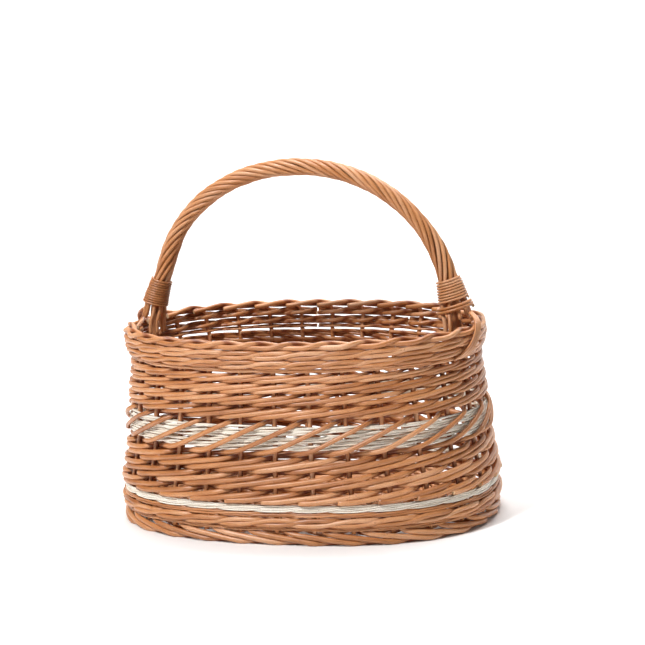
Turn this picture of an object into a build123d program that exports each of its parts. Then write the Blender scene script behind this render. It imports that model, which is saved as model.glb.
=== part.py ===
from build123d import *
from math import cos, hypot, pi, sin
import os

# Overall sizes, millimetres. The floor is z = 0, the long axis lies along x,
# the front of the basket faces -y.
STAKES = 28                  # side stakes around the oval
STAKE_PHASE = 0.12           # first stake past the right-hand end, in stake spaces
PLAN_POWER = 2.2             # exponent of the oval, 2 would be a plain ellipse
FOOT_POWER = 2.45            # fuller oval at the floor, easing into the plain one up the wall
FOOT_POWER_TOP = 80.0
OVAL_DIFFERENCE = 60.0       # half length minus half width of the oval
GAP = 0.35                   # air between rods that cross

# Half length of the stake line at each height
PROFILE = [(0, 192.0), (13, 192.0), (26, 193.2), (41, 193.2), (55, 190.8), (87, 186.0), (124, 183.3),
           (149, 180.5), (160, 179.0), (168, 179.0), (176, 181.5), (184, 183.5), (215, 183.5)]

# Rod radii
STAKE_R = 2.2
FOOT_R = 2.7
UPSETT_R = 2.4
RIM_R = 2.2
WHITE_R = 0.9
BAND_R = 1.15
BOW_R = 4.3
STRAND_R = 2.0
COIL_R = 1.1
TIE_R = 1.15

# Rand rods: height of each level and rod radius there, one level per stake
RAND_HEIGHTS = [44.0 + 5.375 * level for level in range(9)]
RAND_HEIGHTS += [93.5, 110.5, 124.0, 128.6, 133.0, 137.4, 141.5, 145.4, 149.2]
RAND_HEIGHTS += [152.9, 156.5, 160.0, 163.2, 166.3, 169.3]
RAND_RADII = [(0, 2.55), (8, 2.5), (11, 2.15), (14, 2.1), (17, 2.05), (20, 1.9), (23, 1.65)]

# The two rods in front of a stake sit closer than the levels: how much, by level, and its share by phase
RAND_NEST = [(0, 0.0), (11, 0.0), (14, 0.3), (16, 0.55), (23, 0.5)]
RAND_SHARES = [(0, -0.5), (0.5, 0.0), (1, 0.5), (1.5, -0.5), (2, 0.0), (2.5, 0.5), (3, -0.5)]

# Arched handle
BOW_HALF_SPAN = 165.0
BOW_RISE = 175.0
BOW_CENTRE_Z = 185.0
BOW_FOOT_Z = 132.0
BOW_POWER = 2.12             # exponent of the arch, 2 would be a plain ellipse
STRANDS = 9
TWIST_PITCH = 110.0
TWIST_EASE = 0.22            # how far the twist straightens toward the legs

# How far each leg leans in from the arch, by height
LEFT_LEAN = [(212, 0.0), (222, 0.9), (232, 2.3), (244, 3.9), (254, 4.4), (264, 4.1), (276, 2.9),
             (290, 1.3), (302, 0.4), (312, 0.0)]
RIGHT_LEAN = [(215, 2.0), (232, 2.2), (244, 2.0), (256, 1.3), (270, 0.5), (282, 0.0)]
BINDING_LOW = 215.0
BINDING_HIGH = 244.0
BINDING_TURNS = 11

UP = Vector(0, 0, 1)


def between(table, key):
    """Straight-line reading of a table of (key, value) pairs."""
    for (low, low_value), (high, high_value) in zip(table, table[1:]):
        if key <= high:
            share = max(0.0, (key - low) / (high - low))
            return low_value + share * (high_value - low_value)
    return table[-1][1]


def oval_radius(angle, half_length, half_width, power):
    reach = abs(cos(angle) / half_length) ** power + abs(sin(angle) / half_width) ** power
    return reach ** (-1 / power)


def arc_table():
    """(stake number, angle) pairs, evenly spaced along the oval's edge."""
    steps = 1440
    half_length = 184.0
    half_width = half_length - OVAL_DIFFERENCE
    lengths = [0.0]
    last = Vector(half_length, 0)
    for step in range(1, steps + 1):
        angle = 2 * pi * step / steps
        radius = oval_radius(angle, half_length, half_width, PLAN_POWER)
        here = Vector(radius * cos(angle), radius * sin(angle))
        lengths.append(lengths[-1] + (here - last).length)
        last = here
    return [(STAKES * length / lengths[-1], 2 * pi * step / steps) for step, length in enumerate(lengths)]


ARC = arc_table()


def plan_angle(s):
    turns, rest = divmod(s, STAKES)
    low, high = 0, len(ARC) - 1
    while high - low > 1:
        middle = (low + high) // 2
        if ARC[middle][0] <= rest:
            low = middle
        else:
            high = middle
    return between(ARC[low:low + 2], rest)


def wall(s, z, out=0.0):
    """Point on the stake line at stake position s and height z, moved outward by out."""
    angle = plan_angle(s)
    half_length = between(PROFILE, z)
    half_width = half_length - OVAL_DIFFERENCE
    power = between([(0, FOOT_POWER), (FOOT_POWER_TOP, PLAN_POWER)], z)
    radius = oval_radius(angle, half_length, half_width, power)
    x = radius * cos(angle)
    y = radius * sin(angle)
    normal_x = cos(angle) / abs(cos(angle) or 1) * abs(x) ** (power - 1) / half_length ** power
    normal_y = sin(angle) / abs(sin(angle) or 1) * abs(y) ** (power - 1) / half_width ** power
    size = hypot(normal_x, normal_y)
    return Vector(x + out * normal_x / size, y + out * normal_y / size, z)


def stake_wall(stake, z, out=0.0):
    return wall(stake + STAKE_PHASE, z, out)


def rod(points, radii, level=False):
    """One rod, with a straight skin from station to station along its centre line.

    The sections keep one side up on a level rod, and turn as little as possible on the others.
    """
    side = UP if level else Vector(0.31, 0.17, 0.93)
    sections = []
    for index, point in enumerate(points):
        ahead = points[min(index + 1, len(points) - 1)]
        behind = points[max(index - 1, 0)]
        way = (ahead - behind).normalized()
        side = UP if level else side
        side = (side - way * side.dot(way)).normalized()
        with BuildSketch(Plane(origin=point, x_dir=side, z_dir=way)) as section:
            Circle(radii[index])
        sections.append(section.sketch)
    skin = [sections[0].face(), sections[-1].face()]
    for low, high in zip(sections, sections[1:]):
        stretch = loft([low, high], ruled=True, mode=Mode.PRIVATE)
        skin += stretch.faces().filter_by(GeomType.PLANE, reverse=True)
    return Solid(Shell(skin))


def even_rod(points, radius):
    return rod(points, [radius] * len(points))


def wale_rods(low_z, step_z, radius, first_join):
    """Three rods of one round of waling: in front of two stakes, behind one."""
    reach = STAKE_R + radius + GAP
    rods = []
    for strand in range(3):
        points = []
        stops = [0.53] + [half / 2 for half in range(2, 2 * STAKES + 1)] + [STAKES + 0.47]
        for stop in stops:
            phase = (stop - strand) % 3
            if phase <= 1:
                out, lift = reach, step_z * phase
            elif phase <= 2:
                out = reach * cos(pi * (phase - 1))
                lift = step_z * (1.0 if phase < 1.5 else 1.0 - (phase - 1.5))
            else:
                out = -reach * cos(pi * (phase - 2))
                lift = step_z * (3 - phase - 0.5 if phase < 2.5 else 0.0)
            points.append(stake_wall(stop + first_join, low_z + lift, out))
        rods.append(even_rod(points, radius))
    return rods


def rand_out(level, radius):
    """Outward offset of a rand rod at a level: front of two, behind one."""
    reach = STAKE_R + radius + GAP
    over_band = STAKE_R + 2 * BAND_R + radius + 2 * GAP
    band = [(8.0, -reach), (8.5, 0.6), (8.75, 5.4), (9.0, over_band), (10.25, over_band), (10.5, 6.7),
            (10.75, -2.4), (11.0, -reach)]
    if 8 <= level <= 11:
        return between(band, level)
    phase = level % 3
    if phase <= 1:
        return reach
    if phase <= 2:
        return reach * cos(pi * (phase - 1))
    return -reach * cos(pi * (phase - 2))


def rand_point(first_stake, level):
    heights = list(enumerate(RAND_HEIGHTS))
    z = between(heights, level)
    if 10 < level < 11:
        z += 1.6 - 3.2 * abs(level - 10.5)
    if level > 11:
        z += between(RAND_NEST, level) * between(RAND_SHARES, level % 3)
    radius = between(RAND_RADII, level)
    return stake_wall(first_stake + level, z, rand_out(level, radius))


# Side stakes: up through the wall, then turned down to the right as the border
STAKE_HEIGHTS = [12.0, 20, 30, 41, 48, 55, 70, 87, 105, 124, 137, 149, 160, 168, 176, 184, 190]
BORDER_TURN = [(0.02, 193.3, 0.1), (0.10, 195.5, 0.6), (0.25, 196.1, 1.4), (0.50, 196.2, 2.6), (0.75, 196.1, 3.9),
               (1.00, 196.3, 4.75), (1.12, 197.9, 4.9), (1.25, 199.5, 4.8), (1.50, 200.8, 0.9),
               (1.75, 199.9, -3.2), (2.00, 198.0, -4.8), (2.25, 196.5, -4.9), (2.45, 196.0, -4.9)]
with BuildPart() as side_stakes:
    stakes = []
    for stake in range(STAKES):
        path = [stake_wall(stake, z) for z in STAKE_HEIGHTS]
        path += [stake_wall(stake + along, z, out) for along, z, out in BORDER_TURN]
        stakes.append(even_rod(path, STAKE_R))
    add(stakes, mode=Mode.REPLACE)

# Foot border: pointed rods pushed up beside the stakes, turned and laid along the floor
FOOT_RUN = [(0.125, 30.0, 0.0), (0.125, 19.0, 0.0), (0.16, 14.2, 0.0), (0.35, 11.9, 1.8), (0.60, 10.5, 3.0),
            (1.00, 8.3, 3.1), (1.50, 5.5, 3.1), (2.00, 2.6, 3.0), (2.12, 2.5, 1.3), (2.25, 2.5, -0.6),
            (2.50, 2.5, -2.4), (2.75, 2.5, -2.9), (2.95, 2.5, -3.0)]
FOOT_RADII = [0.6, 1.0, 1.6, 2.3, 2.7] + [FOOT_R] * 8
with BuildPart() as foot_border_rods:
    feet = []
    for stake in range(STAKES):
        path = [stake_wall(stake + along, z, out) for along, z, out in FOOT_RUN]
        feet.append(rod(path, FOOT_RADII))
    add(feet, mode=Mode.REPLACE)
    Box(500, 400, 10, align=(Align.CENTER, Align.CENTER, Align.MAX), mode=Mode.SUBTRACT)

# Waling rounds of the upsett, from the foot upward
with BuildPart() as foot_wale:
    add(wale_rods(15.6, 1.8, 1.0, 4), mode=Mode.REPLACE)
with BuildPart() as upsett_wale:
    add(wale_rods(20.9, 5.1, UPSETT_R, 6), mode=Mode.REPLACE)
with BuildPart() as fine_wale:
    add(wale_rods(29.9, 2.4, 1.15, 8), mode=Mode.REPLACE)
with BuildPart() as white_wale:
    pair = wale_rods(34.6, 3.8, WHITE_R, 5) + wale_rods(36.5, 3.8, WHITE_R, 5)
    add(pair, mode=Mode.REPLACE)

# French randing: one rod per stake, rising one level at every stake it passes
RAND_STOPS = [-0.35] + [half / 2 for half in range(0, 17)] + [8.5, 8.75, 9.0, 9.5, 10.0, 10.25, 10.5, 10.75]
RAND_STOPS += [half / 2 for half in range(22, 47)]
with BuildPart() as rand_rods:
    weavers = []
    for stake in range(STAKES):
        path = [rand_point(stake, stop) for stop in RAND_STOPS]
        weavers.append(rod(path, [between(RAND_RADII, stop) for stop in RAND_STOPS]))
    add(weavers, mode=Mode.REPLACE)

# Band of peeled white rods behind the crossing rand rods
with BuildPart() as white_band_rods:
    band_rods = []
    for turn in range(5):
        band_rods += wale_rods(94.8 + 4.9 * turn, 2.45, BAND_R, 3 + turn)
    add(band_rods, mode=Mode.REPLACE)

# Thin round and two thick rounds of waling under the border
with BuildPart() as tip_wale:
    add(wale_rods(171.6, 1.7, 0.9, 7), mode=Mode.REPLACE)
with BuildPart() as rim_wale:
    rim_rods = wale_rods(177.0, 4.8, RIM_R, 4) + wale_rods(186.45, 4.8, RIM_R, 7)
    add(rim_rods, mode=Mode.REPLACE)

# Base: long sticks pushed through pierced cross sticks, woven round in rings
BASE_Z = 13.0
CROSS_R = 3.6
LONG_R = 2.6
SPOKES = 20
SPOKE_SPACE = STAKES / SPOKES
BASE_END_OUT = -4.9
SLATH_X = [(0, 100), (1, 94), (2, 75), (3, 50), (4, 25), (5, 0), (6, -25), (7, -50), (8, -75), (9, -94), (10, -100)]
SLATH_Y = [(0, 0), (1, 17), (2, 26), (8, 26), (9, 17), (10, 0)]


def slath_point(spoke):
    """Where a spoke leaves the pierced middle, spokes numbered around the oval."""
    rest = spoke % SPOKES
    mirrored = rest if rest <= SPOKES / 2 else SPOKES - rest
    side = 1 if rest <= SPOKES / 2 else -1
    return Vector(between(SLATH_X, mirrored), side * between(SLATH_Y, mirrored), BASE_Z)


def spoke_end(spoke):
    edge = wall(spoke * SPOKE_SPACE, BASE_Z, BASE_END_OUT)
    return Vector(edge.X, edge.Y, BASE_Z)


with BuildPart() as base_cross_sticks:
    sticks = []
    for spoke in range(2, 9):
        top = [spoke_end(spoke), slath_point(spoke)]
        low = [slath_point(SPOKES - spoke), spoke_end(SPOKES - spoke)]
        sticks.append(rod(top + low, [2.4, CROSS_R, CROSS_R, 2.4]))
    add(sticks, mode=Mode.REPLACE)
    for y in (-17, 0, 17):
        with BuildSketch(Plane(origin=(-90, y, BASE_Z), z_dir=(1, 0, 0))):
            Circle(LONG_R + 0.1)
        extrude(amount=180, mode=Mode.SUBTRACT)
with BuildPart() as base_long_sticks:
    sticks = []
    for y, right, left in ((0, 0, 10), (17, 1, 9), (-17, 19, 11)):
        path = [spoke_end(right), Vector(94, y, BASE_Z), Vector(-94, y, BASE_Z), spoke_end(left)]
        sticks.append(even_rod(path, LONG_R))
    add(sticks, mode=Mode.REPLACE)

# Straight rods woven over and under the cross sticks, beside the long sticks
FILL_R = 2.3
FILL_RUNS = [(-22.3, 82.0), (-11.5, 88.0), (-5.5, 88.0), (5.5, 88.0), (11.5, 88.0), (22.3, 82.0)]
with BuildPart() as base_fill_rods:
    fill = []
    for index, (y, reach) in enumerate(FILL_RUNS):
        path = [Vector(-reach, y, BASE_Z)]
        for step in range(13):
            swing = sin(pi * step / 2 + pi / 2) * (-1) ** index * (CROSS_R + FILL_R + GAP)
            path.append(Vector(-75 + 12.5 * step, y, BASE_Z + swing))
        path.append(Vector(reach, y, BASE_Z))
        fill.append(rod(path, [FILL_R] * len(path), level=True))
    add(fill, mode=Mode.REPLACE)

RINGS = 18
RING_R = 1.95
with BuildPart() as base_weaving:
    rings = []
    for ring in range(RINGS):
        share = 0.17 + 0.80 * (ring - 1) / (RINGS - 2) if ring else 0.10
        path = []
        stops = [0.53] + [half / 2 for half in range(2, 2 * SPOKES + 1)] + [SPOKES + 0.47]
        for stop in stops:
            spoke = (stop + 3) % SPOKES
            inner = slath_point(spoke)
            outer = spoke_end(spoke)
            swing = cos(pi * (stop + ring)) * (CROSS_R + RING_R + 2 * GAP)
            path.append(inner + (outer - inner) * share + UP * swing)
        rings.append(rod(path, [RING_R] * len(path), level=True))
    add(rings, mode=Mode.REPLACE)


# Handle: a thick bow with long thin rods twisted round it
def lean_in(z, side):
    return between(RIGHT_LEAN if side > 0 else LEFT_LEAN, z)


def bow_point(turn):
    """Centre line of the bow: 0 is the right-hand leg, 180 the left-hand leg."""
    along = cos(turn * pi / 180)
    side = 1 if along > 0 else -1
    z = BOW_CENTRE_Z + BOW_RISE * abs(sin(turn * pi / 180)) ** (2 / BOW_POWER)
    across = BOW_HALF_SPAN * abs(along) ** (2 / BOW_POWER) - lean_in(z, side)
    return Vector(side * across, 0, z)


def bow_out(turn):
    point = bow_point(turn)
    x = abs(point.X / BOW_HALF_SPAN) ** (BOW_POWER - 1) / BOW_HALF_SPAN
    z = abs((point.Z - BOW_CENTRE_Z) / BOW_RISE) ** (BOW_POWER - 1) / BOW_RISE
    return Vector(x if point.X > 0 else -x, 0, z).normalized()


with BuildPart() as handle_bow:
    drop = Vector(0, 0, BOW_FOOT_Z - BOW_CENTRE_Z)
    path = [bow_point(0) + drop] + [bow_point(3 * step) for step in range(61)] + [bow_point(180) + drop]
    add([even_rod(path, BOW_R)], mode=Mode.REPLACE)

LEG_TURN = 10.0
STRAND_GAP = 0.6             # air between the bow and the rods twisted round it
LEFT_FLARE = [(212, 3.0), (222, 2.0), (244, 0.0), (258, 0.8), (275, 0.8), (300, 0.0)]
RIGHT_FLARE = [(212, 7.0), (222, 4.8), (244, 1.4), (275, 1.0), (300, 0.0)]


def flare(z, side):
    """How far the rods stand off the bow near a leg."""
    return between(RIGHT_FLARE if side > 0 else LEFT_FLARE, z)


def strand_point(strand, turn):
    point = bow_point(turn)
    lean = (90 - turn) / 90
    length = BOW_RISE * lean * pi / 2 * (1 - TWIST_EASE * lean * lean)
    angle = 2 * pi * (strand / STRANDS + length / TWIST_PITCH)
    reach = BOW_R + STRAND_R + STRAND_GAP + flare(point.Z, lean)
    return point + bow_out(turn) * (reach * cos(angle)) - Vector(0, reach * sin(angle), 0)


def strand_foot(strand, turn, side):
    """Loose end of a strand, spread out over and inside the border."""
    start = strand_point(strand, turn)
    centre = bow_point(turn)
    away = (start.X - centre.X) * side
    across = start.Y - centre.Y
    leg_x = bow_point(90 - 90 * side).X * side
    if away > 2.0:
        return [start + Vector(side * 0.12 * away, 0.12 * across, -5),
                Vector(side * (leg_x + 1.15 * away), 1.4 * across, 205.3)]
    inner_x = side * (leg_x - 0.4 + 0.95 * away)
    return [start + Vector(side * 0.10 * away, 0.12 * across, -6),
            Vector(inner_x, 1.7 * across, 200.0), Vector(inner_x, 1.75 * across, 188.0)]


with BuildPart() as handle_strands:
    strands = []
    for strand in range(STRANDS):
        turns = [LEG_TURN + (180 - 2 * LEG_TURN) * step / 56 for step in range(57)]
        path = list(reversed(strand_foot(strand, LEG_TURN, 1)))
        path += [strand_point(strand, turn) for turn in turns]
        path += strand_foot(strand, 180 - LEG_TURN, -1)
        strands.append(even_rod(path, STRAND_R))
    add(strands, mode=Mode.REPLACE)


def coil(side, low_z, high_z, turn_count, radius, clearance):
    """Rod wound round a leg of the handle."""
    steps = turn_count * 14
    path = []
    for step in range(steps + 1):
        z = low_z + (high_z - low_z) * step / steps
        lift = (z - BOW_CENTRE_Z) / BOW_RISE
        centre_x = BOW_HALF_SPAN * (1 - lift ** BOW_POWER) ** (1 / BOW_POWER) - lean_in(z, side)
        reach = BOW_R + 2 * STRAND_R + STRAND_GAP + flare(z, side) + radius + clearance
        angle = 2 * pi * step / 14
        tilt = 0.25 * reach * cos(angle)
        path.append(Vector(side * (centre_x + reach * cos(angle)), reach * sin(angle), z + tilt))
    return even_rod(path, radius)


with BuildPart() as handle_binding_left:
    add([coil(-1, BINDING_LOW + 3.2, BINDING_HIGH, BINDING_TURNS, COIL_R, 0.5)], mode=Mode.REPLACE)
with BuildPart() as handle_binding_right:
    add([coil(1, BINDING_LOW + 7, BINDING_HIGH, BINDING_TURNS - 3, COIL_R, 0.6)], mode=Mode.REPLACE)
with BuildPart() as handle_ring_right:
    add([coil(1, BINDING_LOW - 3, BINDING_LOW + 3.6, 2, 1.5, 1.0)], mode=Mode.REPLACE)


TIE_RUN = [(0.22, 212.0, -4.0), (0.30, 208.0, 2.0), (0.44, 203.0, 7.2), (0.64, 194.0, 9.8),
           (0.88, 184.0, 9.6), (1.12, 176.5, 8.4), (1.32, 172.5, 6.4)]
TIE_SPREAD = [0.045, 0.055, 0.07, 0.074, 0.077, 0.077, 0.077]


def tie_rods(side):
    """Five thin rods from the binding, over the border and down under its outer edge."""
    leg = STAKES if side > 0 else STAKES / 2
    rods = []
    for strip in range(5):
        path = []
        for (along, z, out), spread in zip(TIE_RUN, TIE_SPREAD):
            path.append(wall(leg - along - strip * spread, z, out))
        rods.append(even_rod(path, TIE_R))
    return rods


with BuildPart() as handle_tie_left:
    add(tie_rods(-1), mode=Mode.REPLACE)
with BuildPart() as handle_tie_right:
    add(tie_rods(1), mode=Mode.REPLACE)

os.makedirs("parts", exist_ok=True)
side_stakes.part.label = "side_stakes"
export_step(side_stakes.part, "parts/side_stakes.step")
foot_border_rods.part.label = "foot_border_rods"
export_step(foot_border_rods.part, "parts/foot_border_rods.step")
foot_wale.part.label = "foot_wale"
export_step(foot_wale.part, "parts/foot_wale.step")
upsett_wale.part.label = "upsett_wale"
export_step(upsett_wale.part, "parts/upsett_wale.step")
fine_wale.part.label = "fine_wale"
export_step(fine_wale.part, "parts/fine_wale.step")
white_wale.part.label = "white_wale"
export_step(white_wale.part, "parts/white_wale.step")
rand_rods.part.label = "rand_rods"
export_step(rand_rods.part, "parts/rand_rods.step")
white_band_rods.part.label = "white_band_rods"
export_step(white_band_rods.part, "parts/white_band_rods.step")
tip_wale.part.label = "tip_wale"
export_step(tip_wale.part, "parts/tip_wale.step")
rim_wale.part.label = "rim_wale"
export_step(rim_wale.part, "parts/rim_wale.step")
base_cross_sticks.part.label = "base_cross_sticks"
export_step(base_cross_sticks.part, "parts/base_cross_sticks.step")
base_long_sticks.part.label = "base_long_sticks"
export_step(base_long_sticks.part, "parts/base_long_sticks.step")
base_fill_rods.part.label = "base_fill_rods"
export_step(base_fill_rods.part, "parts/base_fill_rods.step")
base_weaving.part.label = "base_weaving"
export_step(base_weaving.part, "parts/base_weaving.step")
handle_bow.part.label = "handle_bow"
export_step(handle_bow.part, "parts/handle_bow.step")
handle_strands.part.label = "handle_strands"
export_step(handle_strands.part, "parts/handle_strands.step")
handle_binding_left.part.label = "handle_binding_left"
export_step(handle_binding_left.part, "parts/handle_binding_left.step")
handle_binding_right.part.label = "handle_binding_right"
export_step(handle_binding_right.part, "parts/handle_binding_right.step")
handle_ring_right.part.label = "handle_ring_right"
export_step(handle_ring_right.part, "parts/handle_ring_right.step")
handle_tie_left.part.label = "handle_tie_left"
export_step(handle_tie_left.part, "parts/handle_tie_left.step")
handle_tie_right.part.label = "handle_tie_right"
export_step(handle_tie_right.part, "parts/handle_tie_right.step")
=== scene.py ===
"""Looks of the woven market basket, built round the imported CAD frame."""
from math import cos, pi, radians, sin

import bpy
import numpy as np
from mathutils import Matrix, Vector


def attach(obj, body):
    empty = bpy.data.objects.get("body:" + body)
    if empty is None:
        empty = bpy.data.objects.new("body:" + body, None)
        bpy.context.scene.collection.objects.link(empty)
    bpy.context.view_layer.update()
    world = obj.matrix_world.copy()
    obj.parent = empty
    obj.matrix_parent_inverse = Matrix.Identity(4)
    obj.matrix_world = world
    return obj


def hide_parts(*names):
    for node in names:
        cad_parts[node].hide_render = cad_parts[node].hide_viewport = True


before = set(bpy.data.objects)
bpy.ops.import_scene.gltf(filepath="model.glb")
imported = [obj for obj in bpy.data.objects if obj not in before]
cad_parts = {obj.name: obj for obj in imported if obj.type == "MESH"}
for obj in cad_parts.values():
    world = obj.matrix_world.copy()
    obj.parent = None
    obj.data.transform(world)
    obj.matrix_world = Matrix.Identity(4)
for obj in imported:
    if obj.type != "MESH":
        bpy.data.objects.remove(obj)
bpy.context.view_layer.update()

MM = 0.001                   # metres in a millimetre
SEED = 2207
RNG = np.random.default_rng(SEED)

# ---------------------------------------------------------------- shape of the basket, millimetres
STAKES = 28                  # side stakes around the oval
STAKE_PHASE = 0.12           # first stake past the right-hand end, in stake spaces
PLAN_POWER = 2.2             # exponent of the oval, 2 would be a plain ellipse
FOOT_POWER = 2.45            # fuller oval at the floor, easing into the plain one up the wall
FOOT_POWER_TOP = 80.0
OVAL_DIFFERENCE = 60.0       # half length minus half width of the oval
ARC_HALF_LENGTH = 184.0      # oval along which the stakes are evenly spaced
GAP = 0.35                   # air between rods that cross
DIP = 0.62                   # distance from a stake at which a rod starts to dip behind it, in stake spaces
ROUND_START = 0.53           # where a round starts past its first stake, in stake spaces
ROUND_END = 0.47             # and where it ends, one turn later
STOPS = 10                   # points on a round from one stake to the next

# Half length of the stake line at each height
PROFILE = [(0, 192.0), (13, 192.0), (26, 193.2), (41, 193.2), (55, 190.8), (87, 186.0), (124, 183.3),
           (149, 180.5), (160, 179.0), (168, 179.0), (176, 181.5), (184, 183.5), (215, 183.5)]
PROFILE_ROUNDING = 12

# Rod radii
STAKE_R = 2.2
STAKE_SKIN = 0.3             # added to that radius, so the visible stakes are thicker than the CAD ones
FOOT_R = 2.7
FOOT_WALE_R = 1.0
UPSETT_R = 2.4
FINE_R = 1.15
TIP_R = 1.25
RIM_R = 2.2
WHITE_R = 0.9
BAND_R = 1.15
BOW_R = 4.3
STRAND_R = 2.0
COIL_R = 1.1
LOOSE_COIL_R = 1.5
TIE_R = 1.15
TIE_RODS = 5

# Rand rods: height of each level, rod radius there, and how much further apart the two neighbours in front
# of a stake sit, with each rod's share of that by its place in the run of three
RAND_HEIGHTS = [44.0 + 5.375 * level for level in range(9)]
RAND_HEIGHTS += [93.5, 110.5, 124.0, 128.6, 133.0, 137.4, 141.5, 145.4, 149.2]
RAND_HEIGHTS += [152.9, 156.5, 160.0, 163.2, 166.3, 169.3]
RAND_RADII = [(0, 2.74), (8, 2.70), (9, 2.4), (11, 2.34), (14, 2.28), (17, 2.2), (20, 2.02), (23, 1.75)]
RAND_BEHIND_R = 2.3          # radius that sets how far behind the stakes the rods lie at the band's edges
RAND_NEST = [(0, 0.0), (11, 0.0), (14, 0.3), (16, 0.55), (23, 0.5)]
RAND_SHARES = [(0, -0.5), (0.5, 0.0), (1, 0.5), (1.5, -0.5), (2, 0.0), (2.5, 0.5), (3, -0.5)]

# White band
BAND_LOW = 94.8
BAND_SPACE = 4.9             # height from one round to the next
BAND_STEP = 2.45             # rise of a rod within its round
BAND_TURNS = 5
DRIFT_SPACE = 1.5            # stake spaces between the rods' random ups and downs

# Arched handle
BOW_HALF_SPAN = 165.0
BOW_RISE = 175.0
BOW_CENTRE_Z = 185.0
BOW_FOOT_Z = 132.0
BOW_POWER = 2.12             # exponent of the arch, 2 would be a plain ellipse
STRANDS = 9
TWIST_PITCH = 110.0
TWIST_EASE = 0.22            # how far the twist straightens toward the legs
BINDING_LOW = 215.0
BINDING_HIGH = 244.0
BINDING_TURNS = 11
LEG_TURN = 10.0              # turn at which the twist ends and the loose feet start
FEET_OVER_Z = 205.3          # end of the feet that spread over the border
FEET_INSIDE_Z = 200.0
FEET_LOW_Z = 188.0           # end of the feet that run down inside it
STRAND_GAP = 0.6             # air between the bow and the rods twisted round it

# How far the rods stand off the bow, and how far each leg leans in from the arch, by height
LEFT_FLARE = [(212, 3.0), (222, 2.0), (244, 0.0), (258, 0.8), (275, 0.8), (300, 0.0)]
RIGHT_FLARE = [(212, 7.0), (222, 4.8), (244, 1.4), (275, 1.0), (300, 0.0)]
LEFT_LEAN = [(212, 0.0), (222, 0.9), (232, 2.3), (244, 3.9), (254, 4.4), (264, 4.1), (276, 2.9),
             (290, 1.3), (302, 0.4), (312, 0.0)]
RIGHT_LEAN = [(215, 2.0), (232, 2.2), (244, 2.0), (256, 1.3), (270, 0.5), (282, 0.0)]

# Rods that tie a leg over the border: distance along the wall, height, outward offset, and their spacing
TIE_RUN = [(0.22, 212.0, -4.0), (0.30, 208.0, 2.0), (0.44, 203.0, 7.2), (0.64, 194.0, 9.8),
           (0.88, 184.0, 9.6), (1.12, 176.5, 8.4), (1.32, 172.5, 6.4)]
TIE_SPREAD = [0.045, 0.055, 0.07, 0.074, 0.077, 0.077, 0.077]


def between(table, key):
    """Straight-line reading of a table of (key, value) pairs, at one key or an array of keys."""
    keys = [pair[0] for pair in table]
    values = [pair[1] for pair in table]
    return np.interp(key, keys, values)


def ease(share):
    """0 to 1 with a smooth start and end."""
    share = np.clip(share, 0.0, 1.0)
    return share * share * (3 - 2 * share)


def oval_radius(angle, half_length, half_width, power=PLAN_POWER):
    """Distance from the middle to the edge of the oval at an angle."""
    reach = np.abs(np.cos(angle) / half_length) ** power + np.abs(np.sin(angle) / half_width) ** power
    return reach ** (-1 / power)


# Angle of every stake position, evenly spaced along the oval's edge
ANGLES = np.linspace(0, 2 * pi, 2881)
RADII = oval_radius(ANGLES, ARC_HALF_LENGTH, ARC_HALF_LENGTH - OVAL_DIFFERENCE)
EDGE = RADII[:, None] * np.stack([np.cos(ANGLES), np.sin(ANGLES)], 1)
LENGTHS = np.concatenate([[0.0], np.cumsum(np.linalg.norm(np.diff(EDGE, axis=0), axis=1))])
SHARES = STAKES * LENGTHS / LENGTHS[-1]


def plan_power(z):
    """Exponent of the oval at a height."""
    return between([(0, FOOT_POWER), (FOOT_POWER_TOP, PLAN_POWER)], z)


def wall(s, z, out=0.0):
    """Points on the stake line at positions s and heights z, moved outward by out."""
    s, z, out = np.broadcast_arrays(np.asarray(s, float), np.asarray(z, float), np.asarray(out, float))
    angle = np.interp(np.mod(s, STAKES), SHARES, ANGLES)
    half_length = between(PROFILE_SMOOTH, z)
    half_width = half_length - OVAL_DIFFERENCE
    power = plan_power(z)
    radius = oval_radius(angle, half_length, half_width, power)
    x, y = radius * np.cos(angle), radius * np.sin(angle)
    normal_x = np.sign(x) * np.abs(x) ** (power - 1) / half_length ** power
    normal_y = np.sign(y) * np.abs(y) ** (power - 1) / half_width ** power
    size = np.hypot(normal_x, normal_y)
    return np.stack([x + out * normal_x / size, y + out * normal_y / size, z], -1)


def smoothed(values, rounds):
    """Rounds off the corners of a run of numbers or points, ends kept."""
    values = np.array(values, float)
    for _ in range(rounds):
        values[1:-1] = 0.25 * values[:-2] + 0.5 * values[1:-1] + 0.25 * values[2:]
    return values


PROFILE_Z = np.linspace(0, 215, 216)
PROFILE_SMOOTH = list(zip(PROFILE_Z, smoothed(between(PROFILE, PROFILE_Z), PROFILE_ROUNDING)))


def stake_wall(stake, z, out=0.0):
    """Points as wall gives them, with positions counted from the first stake."""
    return wall(np.asarray(stake) + STAKE_PHASE, z, out)


# ---------------------------------------------------------------- rods
BEND_LENGTH = 45.0           # distance between a rod's random bends
SWELL_LENGTH = 30.0          # distance between its random changes in thickness
END_HOLD = 12.0              # length at both ends that keeps to the planned run
THICKNESS_SPREAD = 0.025
KNOT_SPACE = 160.0
KNOT_SWELL = 0.07
KNOT_LENGTH = 2.2
GRAIN_R = 2.2                # radius of the round section in the material's own space
GRAIN_SHIFT = 40             # strength of each rod's random shift along that space
PAINTED_SHADE_CORE = 0.3            # distance from the middle of the wall within which the painted shade is deepest
PAINTED_SHADE_REACH = 4.2           # further distance over which it fades
BASE_CORE = 0.6              # the same two distances for the base
BASE_REACH = 5.2


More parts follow.
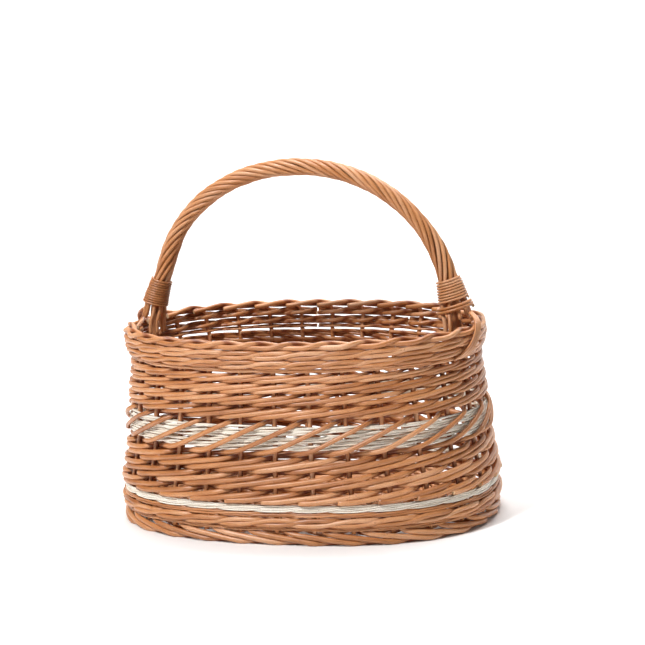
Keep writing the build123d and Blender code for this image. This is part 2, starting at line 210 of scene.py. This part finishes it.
def wander(count, step, reach, size):
    """Slow random drift along a rod: count points step apart, bends about reach long, size high."""
    length = max(count * step, reach)
    knots = int(length / reach) + 4
    marks = np.linspace(0, length, knots)
    places = np.linspace(0, count * step, count)
    drift = np.stack([np.interp(places, marks, RNG.normal(0, size, knots)) for _ in range(3)], 1)
    return smoothed(drift, int(0.3 * reach / step) + 1)


def wall_painted_shade(points):
    """Painted shade: 1 on the outer and inner skin of the weave, falling to 0 in the middle of the wall, where
    the colour is darkened.
    """
    angle = np.arctan2(points[:, 1], points[:, 0])
    half_length = between(PROFILE_SMOOTH, points[:, 2])
    edge = oval_radius(angle, half_length, half_length - OVAL_DIFFERENCE, plan_power(points[:, 2]))
    away = np.abs(np.hypot(points[:, 0], points[:, 1]) - edge)
    return ease((away - PAINTED_SHADE_CORE) / PAINTED_SHADE_REACH)


def base_painted_shade(points):
    """Painted shade for the base: 1 on both skins of the base weave, falling to 0 in its middle, where the
    colour is darkened.
    """
    return ease((np.abs(points[:, 2] - BASE_Z) - BASE_CORE) / BASE_REACH)


class Weave:
    """Collects rods into one mesh, with the values their materials read."""

    def __init__(self, name, node_names, look, slot, sides=10, painted_shade=None):
        self.name = name
        self.nodes = node_names
        self.look = look
        self.slot = slot
        self.sides = sides
        # function giving the painted shade of each point: colour darkened deep in the weave, or None
        self.painted_shade = painted_shade
        self.points = []
        self.faces = []
        self.marks = []          # material of each face: 0 along a rod, 1 on its cut ends
        self.grain = []          # place of each point in the material's own space
        self.tone = []           # one random number for each rod
        self.count = 0

    def rod(self, path, radii, bend=0.25, swell=0.05, step=3.2):
        """One willow rod along a path, with slightly uneven thickness and run."""
        path = np.array(path, float)
        runs = np.concatenate([[0.0], np.cumsum(np.linalg.norm(np.diff(path, axis=0), axis=1))])
        radii = np.broadcast_to(np.asarray(radii, float), len(path))
        count = max(4, int(runs[-1] / step))
        even = np.linspace(0, runs[-1], count)
        line = np.stack([np.interp(even, runs, path[:, axis]) for axis in range(3)], 1)
        line = smoothed(line, 2)
        thick = np.interp(even, runs, radii)
        real_step = runs[-1] / count
        hold = np.minimum(1.0, np.minimum(even, even[::-1]) / END_HOLD)[:, None]
        line = line + wander(count, real_step, BEND_LENGTH, bend) * hold
        thick = thick * (1 + RNG.normal(0, THICKNESS_SPREAD))
        thick = thick * (1 + wander(count, real_step, SWELL_LENGTH, swell)[:, 0])
        for _ in range(int(runs[-1] / KNOT_SPACE) + 1):
            knot = RNG.uniform(0, runs[-1])
            thick = thick * (1 + KNOT_SWELL * np.exp(-((even - knot) / KNOT_LENGTH) ** 2))
        way = np.gradient(line, axis=0)
        way /= np.linalg.norm(way, axis=1)[:, None]
        shift = RNG.uniform(0, 50, 3)
        tone = RNG.uniform(0, 1)
        self.skin(line, thick, way, even, shift)
        self.tone.append(np.full(count * self.sides, tone))

    def skin(self, line, thick, way, even, shift):
        """Rings of points along a rod, the faces between them, and its two cut ends."""
        n = self.sides
        count = len(line)
        first = self.count
        side = np.cross(way[0], [0.31, 0.17, 0.93])
        angles = np.linspace(0, 2 * pi, n, endpoint=False)
        for index in range(count):
            side = side - way[index] * np.dot(side, way[index])
            side /= np.linalg.norm(side)
            up = np.cross(way[index], side)
            round_way = np.cos(angles)[:, None] * side + np.sin(angles)[:, None] * up
            self.points.append(line[index] + thick[index] * round_way)
            self.grain.append(np.stack([np.cos(angles) * GRAIN_R + shift[0],
                                        np.sin(angles) * GRAIN_R + shift[1],
                                        np.full(n, even[index] + GRAIN_SHIFT * shift[2])], 1))
        for index in range(count - 1):
            low = first + index * n
            for corner in range(n):
                after = (corner + 1) % n
                self.faces.append((low + corner, low + after, low + n + after, low + n + corner))
                self.marks.append(0)
        self.faces.append(tuple(range(first + n - 1, first - 1, -1)))
        self.faces.append(tuple(range(first + (count - 1) * n, first + count * n)))
        self.marks += [1, 1]
        self.count += count * n

    def build(self):
        """Makes the mesh and has it stand for its CAD nodes."""
        mesh = bpy.data.meshes.new(self.name)
        points = np.concatenate(self.points) * MM
        mesh.from_pydata(points.tolist(), [], self.faces)
        grain = mesh.attributes.new("grain", "FLOAT_VECTOR", "POINT")
        grain.data.foreach_set("vector", np.concatenate(self.grain).astype(np.float32).ravel())
        tone = mesh.attributes.new("tone", "FLOAT", "POINT")
        tone.data.foreach_set("value", np.concatenate(self.tone).astype(np.float32))
        # Painted shade: how far each point's colour is darkened deep in the weave, for the material to read
        depth = mesh.attributes.new("depth", "FLOAT", "POINT")
        shade = self.painted_shade(points / MM) if self.painted_shade else np.ones(len(points))
        depth.data.foreach_set("value", shade.astype(np.float32))
        mesh.materials.append(self.look[0])
        mesh.materials.append(self.look[1])
        mesh.polygons.foreach_set("material_index", np.array(self.marks, np.int32))
        mesh.polygons.foreach_set("use_smooth", np.array(self.marks, np.int32) == 0)
        mesh.update()
        piece = bpy.data.objects.new(self.name, mesh)
        bpy.context.scene.collection.objects.link(piece)
        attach(piece, "root")
        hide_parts(*self.nodes)


def weave_out(phase, reach):
    """Outward offset over three stakes: in front of the first two, dipping behind the third."""
    near = np.minimum(1.0, np.abs(phase - 2) / DIP)
    return -reach * np.cos(pi * near)


def wale(weave, low_z, step_z, radius, first_join, pair=0.0, bend=0.25, drift=0.0):
    """One round of waling with three strands: in front of two stakes, behind one."""
    reach = STAKE_R + radius + GAP
    for strand in range(3):
        stops = np.linspace(ROUND_START, STAKES + ROUND_END, STAKES * STOPS + 1)
        phase = np.mod(stops - strand, 3)
        out = weave_out(phase, reach)
        # The rod rises from its first stake to the second, and falls as it passes behind the third
        lift = np.where(phase <= 1, ease(phase),
                        np.where(phase <= 2, 1 - 0.5 * ease(2 * (phase - 1.5)),
                                 0.5 - 0.5 * ease(2 * (phase - 2))))
        marks = np.arange(0, STAKES + 3, DRIFT_SPACE)
        sway = drift * smoothed(np.interp(stops, marks, RNG.normal(0, 1, len(marks))), 3)
        path = stake_wall(stops + first_join, low_z + step_z * lift + sway, out)
        weave.rod(path, radius, bend)
        if pair:
            weave.rod(path + [0, 0, pair], radius, bend)


# ---------------------------------------------------------------- materials
RIDGE_DEPTH = 0.0004         # metres


def node(tree, kind, **values):
    """A new shader node with its settings."""
    made = tree.nodes.new(kind)
    for key, value in values.items():
        setattr(made, key, value)
    return made


def ramp(tree, stops):
    """A colour ramp through (place, colour) stops."""
    made = tree.nodes.new("ShaderNodeValToRGB")
    while len(made.color_ramp.elements) < len(stops):
        made.color_ramp.elements.new(0.5)
    for element, (place, colour) in zip(made.color_ramp.elements, stops):
        element.position = place
        element.color = (*colour, 1)
    return made


def willow(name, pale, middle, deep, rough, warm=(1.0, 0.93, 0.80), shadow=(0.46, 0.26, 0.14),
           streak=0.5, bump=0.35):
    """Willow rod: streaks along the rod, a tone and warmth of its own for each rod, specks, painted shade deep
    in the weave, fine ridges.
    """
    look = bpy.data.materials.new(name)
    look.use_nodes = True
    tree = look.node_tree
    link = tree.links.new
    shader = tree.nodes["Principled BSDF"]
    grain = node(tree, "ShaderNodeAttribute", attribute_name="grain")
    tone = node(tree, "ShaderNodeAttribute", attribute_name="tone")

    def noise(scale, detail, squeeze=None):
        """Noise in the rod's own space, stretched along it by a squeeze under 1."""
        made = node(tree, "ShaderNodeTexNoise")
        made.inputs["Scale"].default_value = scale
        made.inputs["Detail"].default_value = detail
        source = grain.outputs["Vector"]
        if squeeze:
            stretch = node(tree, "ShaderNodeMapping")
            stretch.inputs["Scale"].default_value = (1.0, 1.0, squeeze)
            link(source, stretch.inputs["Vector"])
            source = stretch.outputs["Vector"]
        link(source, made.inputs["Vector"])
        return made.outputs["Fac"]

    def weighed(value, weight, rest):
        """value * weight + rest, where rest is a number or another output."""
        made = node(tree, "ShaderNodeMath", operation="MULTIPLY_ADD")
        link(value, made.inputs[0])
        made.inputs[1].default_value = weight
        if isinstance(rest, float):
            made.inputs[2].default_value = rest
        else:
            link(rest, made.inputs[2])
        return made.outputs["Value"]

    def multiplied(first, second):
        made = node(tree, "ShaderNodeMix", data_type="RGBA", blend_type="MULTIPLY")
        made.inputs["Factor"].default_value = 1.0
        link(first, made.inputs[6])
        link(second, made.inputs[7])
        return made.outputs[2]

    # Pale to deep along the streaks, with a level of its own for each rod
    streaks = noise(1.6, 6.0, 0.045)
    clouds = noise(0.03, 3.0)
    level = weighed(streaks, streak, weighed(clouds, 0.7, weighed(tone.outputs["Fac"], 0.40, -0.30)))
    colours = ramp(tree, [(0.05, deep), (0.50, middle), (0.95, pale)])
    link(level, colours.inputs["Fac"])
    # A second number for each rod, made from its tone, sets how warm it is
    share = node(tree, "ShaderNodeMath", operation="FRACT")
    link(weighed(tone.outputs["Fac"], 7.31, 0.0), share.inputs[0])
    warmth = ramp(tree, [(0.0, (1, 1, 1)), (1.0, warm)])
    link(share.outputs["Value"], warmth.inputs["Fac"])
    # Dark specks, faint bands across the rod, and painted shade deep in the weave
    specks = ramp(tree, [(0.66, (1, 1, 1)), (0.74, (0.60, 0.48, 0.40))])
    link(noise(0.5, 2.0), specks.inputs["Fac"])
    bands = ramp(tree, [(0.35, (0.90, 0.87, 0.83)), (0.60, (1, 1, 1))])
    link(noise(0.9, 2.0, 0.9), bands.inputs["Fac"])
    depth = node(tree, "ShaderNodeAttribute", attribute_name="depth")
    # Painted shade: colour pulled toward the shadow colour where the weave is deep
    painted_shade = ramp(tree, [(0.0, shadow), (0.5, (1, 1, 1))])
    link(depth.outputs["Fac"], painted_shade.inputs["Fac"])
    colour = multiplied(multiplied(colours.outputs["Color"], warmth.outputs["Color"]),
                        multiplied(specks.outputs["Color"], bands.outputs["Color"]))
    colour = multiplied(colour, painted_shade.outputs["Color"])
    link(colour, shader.inputs["Base Color"])
    # Shine and fine ridges follow the streaks
    sheen = node(tree, "ShaderNodeMapRange")
    sheen.inputs["To Min"].default_value = rough - 0.10
    sheen.inputs["To Max"].default_value = rough + 0.12
    link(streaks, sheen.inputs["Value"])
    link(sheen.outputs["Result"], shader.inputs["Roughness"])
    shader.inputs["Specular IOR Level"].default_value = 0.7
    ridges = node(tree, "ShaderNodeBump")
    ridges.inputs["Strength"].default_value = bump
    ridges.inputs["Distance"].default_value = RIDGE_DEPTH
    link(weighed(streaks, 0.7, noise(0.9, 3.0, 0.9)), ridges.inputs["Height"])
    link(ridges.outputs["Normal"], shader.inputs["Normal"])
    return look


BUFF = willow("buff_willow", (0.79, 0.475, 0.295), (0.58, 0.25, 0.092), (0.28, 0.080, 0.015), 0.39,
              (1.0, 0.94, 0.84))
BUFF_END = willow("buff_cut_end", (0.78, 0.58, 0.38), (0.62, 0.42, 0.25), (0.40, 0.24, 0.13), 0.8)
PEELED = willow("white_willow", (0.93, 0.89, 0.81), (0.88, 0.83, 0.74), (0.70, 0.60, 0.48), 0.42,
                (1.0, 0.98, 0.94), (0.72, 0.64, 0.54))
PEELED_END = willow("white_cut_end", (0.80, 0.74, 0.60), (0.68, 0.60, 0.46), (0.50, 0.42, 0.30), 0.8)
STICK = willow("stick_willow", (0.56, 0.30, 0.16), (0.44, 0.20, 0.09), (0.24, 0.09, 0.035), 0.5)
BUFF_LOOK = (BUFF, BUFF_END)
WHITE_LOOK = (PEELED, PEELED_END)
STICK_LOOK = (STICK, BUFF_END)

# ---------------------------------------------------------------- wall
# A stake's heights, and its turn down into the border: distance along the wall, height, outward offset
STAKE_HEIGHTS = [12.0, 20, 30, 41, 48, 55, 70, 87, 105, 124, 137, 149, 160, 168, 176, 184, 190]
BORDER_TURN = [(0.02, 193.3, 0.1), (0.10, 195.5, 0.6), (0.25, 196.1, 1.4), (0.50, 196.2, 2.6),
               (0.75, 196.1, 3.9), (1.00, 196.3, 4.75), (1.12, 197.6, 4.9), (1.25, 198.9, 4.8),
               (1.50, 200.0, 0.9), (1.75, 199.4, -3.2), (2.00, 198.0, -4.8), (2.25, 196.5, -4.9),
               (2.45, 196.0, -4.9)]


def dense(rows, steps=6):
    """More points on a list of rows, joined by smooth curves."""
    rows = np.array(rows, float)
    padded = np.vstack([2 * rows[0] - rows[1], rows, 2 * rows[-1] - rows[-2]])
    made = []
    for index in range(1, len(rows)):
        a, b, c, d = padded[index - 1:index + 3]
        for step in range(steps):
            t = step / steps
            made.append(0.5 * (2 * b + (c - a) * t + (2 * a - 5 * b + 4 * c - d) * t * t
                               + (3 * b - a - 3 * c + d) * t ** 3))
    made.append(rows[-1])
    return np.array(made)


stakes = Weave("side_stakes_woven", ["side_stakes"], BUFF_LOOK, "buff_willow", painted_shade=wall_painted_shade)
for stake in range(STAKES):
    path = [stake_wall(stake, z) for z in STAKE_HEIGHTS]
    path += [stake_wall(stake + along, z, out) for along, z, out in BORDER_TURN]
    stakes.rod(dense(path), STAKE_R + STAKE_SKIN, bend=0.15)
stakes.build()

# A foot rod from its point beside a stake to its end on the floor, and its radius at each place
FOOT_RUN = [(0.125, 30.0, 0.0), (0.125, 19.0, 0.0), (0.16, 14.2, 0.0), (0.35, 11.9, 1.8), (0.60, 10.5, 3.0),
            (1.00, 8.3, 3.1), (1.50, 5.5, 3.1), (2.00, 2.75, 3.0), (2.12, 2.7, 1.3), (2.25, 2.7, -0.6),
            (2.50, 2.7, -2.4), (2.75, 2.7, -2.9), (2.95, 2.7, -3.0)]
FOOT_RADII = [0.6, 1.0, 1.6, 2.3] + [FOOT_R] * 9
feet = Weave("foot_border_woven", ["foot_border_rods"], BUFF_LOOK, "buff_willow", 12, wall_painted_shade)
for stake in range(STAKES):
    path = [stake_wall(stake + along, z, out) for along, z, out in FOOT_RUN]
    rows = dense(np.column_stack([path, FOOT_RADII]))
    feet.rod(rows[:, :3], rows[:, 3], bend=0.1, swell=0.03)
feet.build()

# Each round of waling: lowest height, rise within the round, rod radius, and the stake it starts at
WALES = [("foot_wale", [(15.6, 1.8, FOOT_WALE_R, 4)]),
         ("upsett_wale", [(20.9, 5.1, UPSETT_R, 6)]),
         ("fine_wale", [(29.9, 2.4, FINE_R, 8)]),
         ("tip_wale", [(172.2, 1.7, TIP_R, 7)]),
         ("rim_wale", [(177.0, 4.8, RIM_R, 4), (186.45, 4.8, RIM_R, 7)])]
for name, rows in WALES:
    rounds = Weave(name + "_woven", [name], BUFF_LOOK, "buff_willow", painted_shade=wall_painted_shade)
    for low_z, step_z, radius, join in rows:
        wale(rounds, low_z, step_z, radius, join)
    rounds.build()

# White rounds: one of rods in pairs, one above the other, and the band, whose rounds each start a stake further
white_wale = Weave("white_wale_woven", ["white_wale"], WHITE_LOOK, "white_willow", 8, wall_painted_shade)
wale(white_wale, 34.6, 3.8, WHITE_R, 5, pair=1.9, bend=0.2)
white_wale.build()
band = Weave("white_band_woven", ["white_band_rods"], WHITE_LOOK, "white_willow", 8, wall_painted_shade)
for turn in range(BAND_TURNS):
    wale(band, BAND_LOW + BAND_SPACE * turn, BAND_STEP, BAND_R, 3 + turn, bend=0.4, drift=0.8)
band.build()

# Levels at which a rand rod turns on its way over the white band: behind a stake at the first and the last
BAND_KEYS = [8.0, 8.5, 8.75, 9.0, 10.25, 10.5, 10.75, 11.0]
BAND_FRONT_LEVEL = 9.6       # level whose rod radius sets how far they stand out there
BAND_HOP_LEVEL = 10.5        # level at which they hop up on their way back in
BAND_HOP = 1.6
RAND_START = -0.35
RAND_POINTS = 280


def rand_out(level, radius):
    """Outward offset of a rand rod at each level: front of two, behind one."""
    reach = STAKE_R + radius + GAP
    over = STAKE_R + 2 * BAND_R + radius + 2 * GAP
    plain = weave_out(np.mod(level, 3), reach)
    front = over[np.argmin(np.abs(level - BAND_FRONT_LEVEL))]
    behind = STAKE_R + RAND_BEHIND_R + GAP
    band_out = np.interp(level, BAND_KEYS, [-behind, 0.6, 5.4, front, front, 6.7, -2.4, -behind])
    return np.where((level >= BAND_KEYS[0]) & (level <= BAND_KEYS[-1]), band_out, plain)


rand = Weave("rand_rods_woven", ["rand_rods"], BUFF_LOOK, "buff_willow", painted_shade=wall_painted_shade)
levels = np.linspace(RAND_START, len(RAND_HEIGHTS) - 1, RAND_POINTS)
radii = between(RAND_RADII, levels)
heights = between(list(enumerate(RAND_HEIGHTS)), levels)
hop = BAND_HOP - 2 * BAND_HOP * np.abs(levels - BAND_HOP_LEVEL)
heights = heights + np.where((levels > 10) & (levels < 11), hop, 0.0)
heights = heights + between(RAND_NEST, levels) * between(RAND_SHARES, np.mod(levels, 3))
heights = smoothed(heights, 6)
outs = smoothed(rand_out(levels, radii), 2)
for stake in range(STAKES):
    rand.rod(stake_wall(stake + levels, heights, outs), radii)
rand.build()

# ---------------------------------------------------------------- base
BASE_Z = 13.0
CROSS_R = 3.6
CROSS_SPACE = 25.0
CROSS_REACH = 75.0           # outermost cross stick, measured from the middle
STICK_TIP_R = 2.4
LONG_R = 2.6
LONG_TURN_X = 94.0           # where a long stick turns out toward the wall
LONG_STICKS = [(0, 0, 10), (17, 1, 9), (-17, 19, 11)]        # side offset, spokes at its two ends
SPOKES = 20
SPOKE_SPACE = STAKES / SPOKES
BASE_END_OUT = -4.9

# Where each spoke leaves the pierced middle, from the right-hand end to the left-hand end
SLATH_X = [(0, 100), (1, 94), (2, 75), (3, 50), (4, 25), (5, 0),
           (6, -25), (7, -50), (8, -75), (9, -94), (10, -100)]
SLATH_Y = [(0, 0), (1, 17), (2, 26), (8, 26), (9, 17), (10, 0)]

RINGS = 18
RING_R = 1.95
RING_JOIN = 3                # spoke at which every ring starts and ends
FIRST_RING = 0.10            # place of a ring from the pierced middle, 0, to the wall, 1
SECOND_RING = 0.17
RING_SPREAD = 0.80           # distance from the second ring to the last, on the same scale

# Fill rods: side offset and reach from the middle
FILL_R = 2.3
FILL_RUNS = [(-22.3, 82.0), (-11.5, 88.0), (-5.5, 88.0), (5.5, 88.0), (11.5, 88.0), (22.3, 82.0)]
FILL_POINTS = 61


def slath_point(spoke):
    """Where a spoke leaves the pierced middle, spokes numbered around the oval."""
    rest = np.mod(spoke, SPOKES)
    mirrored = np.where(rest <= SPOKES / 2, rest, SPOKES - rest)
    side = np.where(rest <= SPOKES / 2, 1, -1)
    return np.stack([between(SLATH_X, mirrored), side * between(SLATH_Y, mirrored),
                     np.full(np.shape(rest), BASE_Z)], -1)


def spoke_end(spoke):
    """Where a spoke ends, just inside the wall."""
    return wall(np.asarray(spoke) * SPOKE_SPACE, BASE_Z, BASE_END_OUT)


cross = Weave("base_cross_sticks_woven", ["base_cross_sticks"], STICK_LOOK, "willow_sticks", 14)
for spoke in range(2, 9):
    far = SPOKES - spoke
    rows = [spoke_end(spoke), slath_point(spoke), slath_point(far), spoke_end(far)]
    cross.rod(rows, [STICK_TIP_R, CROSS_R, CROSS_R, STICK_TIP_R], bend=0.0)
cross.build()

long_sticks = Weave("base_long_sticks_woven", ["base_long_sticks"], STICK_LOOK, "willow_sticks", 12)
for y, right, left in LONG_STICKS:
    path = [spoke_end(right), (LONG_TURN_X, y, BASE_Z), (-LONG_TURN_X, y, BASE_Z), spoke_end(left)]
    long_sticks.rod(path, LONG_R, bend=0.0)
long_sticks.build()

fill = Weave("base_fill_woven", ["base_fill_rods"], BUFF_LOOK, "buff_willow", painted_shade=base_painted_shade)
for index, (y, reach) in enumerate(FILL_RUNS):
    x = np.linspace(-CROSS_REACH, CROSS_REACH, FILL_POINTS)
    z = BASE_Z + np.cos(pi * (x + CROSS_REACH) / CROSS_SPACE) * (-1) ** index * (CROSS_R + FILL_R + GAP)
    run = np.column_stack([x, np.full(FILL_POINTS, y), z])
    fill.rod(np.vstack([[-reach, y, BASE_Z], run, [reach, y, BASE_Z]]), FILL_R, bend=0.15)
fill.build()

weaving = Weave("base_weaving_woven", ["base_weaving"], BUFF_LOOK, "buff_willow", painted_shade=base_painted_shade)
for ring in range(RINGS):
    share = SECOND_RING + RING_SPREAD * (ring - 1) / (RINGS - 2) if ring else FIRST_RING
    stops = np.linspace(ROUND_START, SPOKES + ROUND_END, SPOKES * STOPS + 1)
    inner = slath_point(stops + RING_JOIN)
    outer = spoke_end(stops + RING_JOIN)
    path = inner + (outer - inner) * share
    path[:, 2] += np.cos(pi * (stops + ring)) * (CROSS_R + RING_R + 2 * GAP)
    weaving.rod(smoothed(path, 1), RING_R, bend=0.2)
weaving.build()


# ---------------------------------------------------------------- handle
def lean_in(z, side):
    """How far a leg leans in from the arch; side is above 0 on the right."""
    return np.where(np.asarray(side) > 0, between(RIGHT_LEAN, z), between(LEFT_LEAN, z))


def bow_point(turn):
    """Centre line of the bow: 0 is the right-hand leg, 180 the left-hand leg."""
    angle = np.radians(turn)
    side = np.sign(np.cos(angle))
    z = BOW_CENTRE_Z + BOW_RISE * np.abs(np.sin(angle)) ** (2 / BOW_POWER)
    across = BOW_HALF_SPAN * np.abs(np.cos(angle)) ** (2 / BOW_POWER) - lean_in(z, side)
    return np.stack([side * across, 0 * angle, z], -1)


def bow_out(turn):
    """Outward direction across the bow, in its own plane."""
    point = bow_point(turn)
    x = np.sign(point[..., 0]) * np.abs(point[..., 0] / BOW_HALF_SPAN) ** (BOW_POWER - 1) / BOW_HALF_SPAN
    z = np.abs((point[..., 2] - BOW_CENTRE_Z) / BOW_RISE) ** (BOW_POWER - 1) / BOW_RISE
    way = np.stack([x, 0 * x, z], -1)
    return way / np.linalg.norm(way, axis=-1)[..., None]


def flare(z, side):
    """How far the rods stand off the bow near a leg."""
    return np.where(np.asarray(side) > 0, between(RIGHT_FLARE, z), between(LEFT_FLARE, z))


def strand_point(strand, turn):
    """Centre line of one rod twisted round the bow."""
    turn = np.asarray(turn, float)
    point = bow_point(turn)
    lean = (90 - turn) / 90
    length = BOW_RISE * lean * pi / 2 * (1 - TWIST_EASE * lean * lean)
    angle = 2 * pi * (strand / STRANDS + length / TWIST_PITCH)
    reach = BOW_R + STRAND_R + STRAND_GAP + flare(point[..., 2], lean)
    side = np.stack([0 * angle, reach * np.sin(angle), 0 * angle], -1)
    return point + bow_out(turn) * (reach * np.cos(angle))[..., None] - side


def strand_foot(strand, turn, side):
    """Loose end of a strand, spread out over and inside the border."""
    start = strand_point(strand, turn)
    centre = bow_point(turn)
    away = (start[0] - centre[0]) * side
    across = start[1] - centre[1]
    leg_x = side * bow_point(90 - 90 * side)[0]
    if away > 2.0:
        return [start + [side * 0.12 * away, 0.12 * across, -5],
                np.array([side * (leg_x + 1.15 * away), 1.4 * across, FEET_OVER_Z])]
    inner_x = side * (leg_x - 0.4 + 0.95 * away)
    return [start + [side * 0.10 * away, 0.12 * across, -6],
            np.array([inner_x, 1.7 * across, FEET_INSIDE_Z]),
            np.array([inner_x, 1.75 * across, FEET_LOW_Z])]


bow = Weave("handle_bow_woven", ["handle_bow"], STICK_LOOK, "willow_sticks", 16)
turns = np.linspace(0, 180, 61)
drop = [0, 0, BOW_FOOT_Z - BOW_CENTRE_Z]
path = np.vstack([bow_point(0) + drop, bow_point(turns), bow_point(180) + drop])
bow.rod(path, BOW_R, bend=0.0, swell=0.02)
bow.build()

strands = Weave("handle_strands_woven", ["handle_strands"], BUFF_LOOK, "buff_willow", 12)
turns = np.linspace(LEG_TURN, 180 - LEG_TURN, 200)
for strand in range(STRANDS):
    low = dense(list(reversed(strand_foot(strand, LEG_TURN, 1))) + [strand_point(strand, LEG_TURN)])
    high = dense([strand_point(strand, 180 - LEG_TURN)] + strand_foot(strand, 180 - LEG_TURN, -1))
    path = np.vstack([low[:-1], strand_point(strand, turns), high[1:]])
    strands.rod(path, STRAND_R, bend=0.15, swell=0.06)
strands.build()


COIL_STEPS = 28              # points on each turn
COIL_TILT = 0.25


def coil(name, side, low_z, high_z, turn_count, radius, clearance, sides=8):
    """Rod wound round a leg of the handle."""
    steps = np.arange(turn_count * COIL_STEPS + 1)
    z = low_z + (high_z - low_z) * steps / steps[-1]
    lift = (z - BOW_CENTRE_Z) / BOW_RISE
    centre_x = BOW_HALF_SPAN * (1 - lift ** BOW_POWER) ** (1 / BOW_POWER) - lean_in(z, side)
    reach = BOW_R + 2 * STRAND_R + STRAND_GAP + flare(z, side) + radius + clearance
    angle = 2 * pi * steps / COIL_STEPS
    tilt = COIL_TILT * reach * np.cos(angle)
    path = np.stack([side * (centre_x + reach * np.cos(angle)), reach * np.sin(angle), z + tilt], 1)
    weave = Weave(name + "_woven", [name], BUFF_LOOK, "buff_willow", sides)
    weave.rod(path, radius, bend=0.08, swell=0.04, step=2.6)
    weave.build()


coil("handle_binding_left", -1, BINDING_LOW + 3.2, BINDING_HIGH, BINDING_TURNS, COIL_R, 0.5)
coil("handle_binding_right", 1, BINDING_LOW + 7, BINDING_HIGH, BINDING_TURNS - 3, COIL_R, 0.6)
coil("handle_ring_right", 1, BINDING_LOW - 3, BINDING_LOW + 3.6, 2, LOOSE_COIL_R, 1.0, 10)

for leg, name in ((STAKES / 2, "handle_tie_left"), (STAKES, "handle_tie_right")):
    tie = Weave(name + "_woven", [name], BUFF_LOOK, "buff_willow", 8)
    for strip in range(TIE_RODS):
        path = [wall(leg - along - strip * spread, z, out)
                for (along, z, out), spread in zip(TIE_RUN, TIE_SPREAD)]
        tie.rod(dense(path), TIE_R, bend=0.1)
    tie.build()

# ---------------------------------------------------------------- floor, light, camera
# Floor that curves up into a backdrop, metres
FLOOR_FRONT = -3.0
FLOOR_BACK = 1.6
CURVE_R = 0.9
BACKDROP_TOP = 4.0
FLOOR_SIDE = 6
CURVE_TURNS = np.linspace(0.05, pi / 2, 24)
floor_rows = [(FLOOR_FRONT, 0.0), (FLOOR_BACK, 0.0)]
floor_rows += [(FLOOR_BACK + CURVE_R * sin(turn), CURVE_R - CURVE_R * cos(turn)) for turn in CURVE_TURNS]
floor_rows += [(FLOOR_BACK + CURVE_R, BACKDROP_TOP)]
floor_points = [(x, y, z) for y, z in floor_rows for x in (-FLOOR_SIDE, FLOOR_SIDE)]
floor_faces = [(2 * row, 2 * row + 1, 2 * row + 3, 2 * row + 2) for row in range(len(floor_rows) - 1)]
floor_mesh = bpy.data.meshes.new("floor")
floor_mesh.from_pydata(floor_points, [], floor_faces)
floor_mesh.polygons.foreach_set("use_smooth", [True] * len(floor_faces))
floor = bpy.data.objects.new("floor", floor_mesh)
bpy.context.scene.collection.objects.link(floor)
pale_floor = bpy.data.materials.new("pale_floor")
pale_floor.use_nodes = True
floor_shader = pale_floor.node_tree.nodes["Principled BSDF"]
floor_shader.inputs["Base Color"].default_value = (0.93, 0.93, 0.93, 1)
floor_shader.inputs["Roughness"].default_value = 0.9
floor_mesh.materials.append(pale_floor)

world = bpy.data.worlds.new("studio")
bpy.context.scene.world = world
world.use_nodes = True
background = world.node_tree.nodes["Background"]
background.inputs["Color"].default_value = (1.0, 1.0, 1.0, 1)
background.inputs["Strength"].default_value = 0.07
bpy.context.scene.view_settings.view_transform = "Standard"


def area_light(name, place, target, size, power):
    """Square lamp, its size in metres and its power in watts, turned toward a target."""
    light = bpy.data.lights.new(name, "AREA")
    light.shape = "SQUARE"
    light.size = size
    light.energy = power
    holder = bpy.data.objects.new(name, light)
    holder.location = place
    holder.rotation_euler = (Vector(target) - Vector(place)).to_track_quat("-Z", "Y").to_euler()
    bpy.context.scene.collection.objects.link(holder)


area_light("key", (-1.1, -1.8, 2.7), (0, 0, 0.15), 0.5, 106)
area_light("side", (2.1, -1.0, 1.2), (0, 0, 0.15), 0.8, 2)
area_light("top", (0.1, 0.5, 2.4), (0, 0, 0.2), 1.2, 16)
area_light("backdrop", (0.0, 0.9, 2.8), (0, 2.4, 0.5), 1.6, 75)

# The camera looks at a point AIM_UP above the floor and AIM_RIGHT to the right of the middle, metres
DISTANCE = 2.0
AZIMUTH = radians(16.8)
ELEVATION = radians(10.0)
ROLL = radians(2.7)
LENS = 107.877209            # focal length on the 36 mm sensor, millimetres
SENSOR = 36.0
AIM_RIGHT = 0.020
AIM_UP = 0.1976

back = Vector((sin(AZIMUTH) * cos(ELEVATION), -cos(AZIMUTH) * cos(ELEVATION), sin(ELEVATION)))
right = Vector((cos(AZIMUTH), sin(AZIMUTH), 0))
up = back.cross(right)
lens = bpy.data.cameras.new("camera")
lens.sensor_width = SENSOR
lens.lens = LENS
camera = bpy.data.objects.new("camera", lens)
bpy.context.scene.collection.objects.link(camera)
rolled_right = right * cos(ROLL) - up * sin(ROLL)
rolled_up = right * sin(ROLL) + up * cos(ROLL)
place = right * AIM_RIGHT + Vector((0, 0, AIM_UP)) + back * DISTANCE
turn = Matrix((rolled_right, rolled_up, back)).transposed().to_4x4()
camera.matrix_world = Matrix.Translation(place) @ turn
bpy.context.scene.camera = camera


def plain(box):
    return [[float(value) for value in corner] for corner in box]
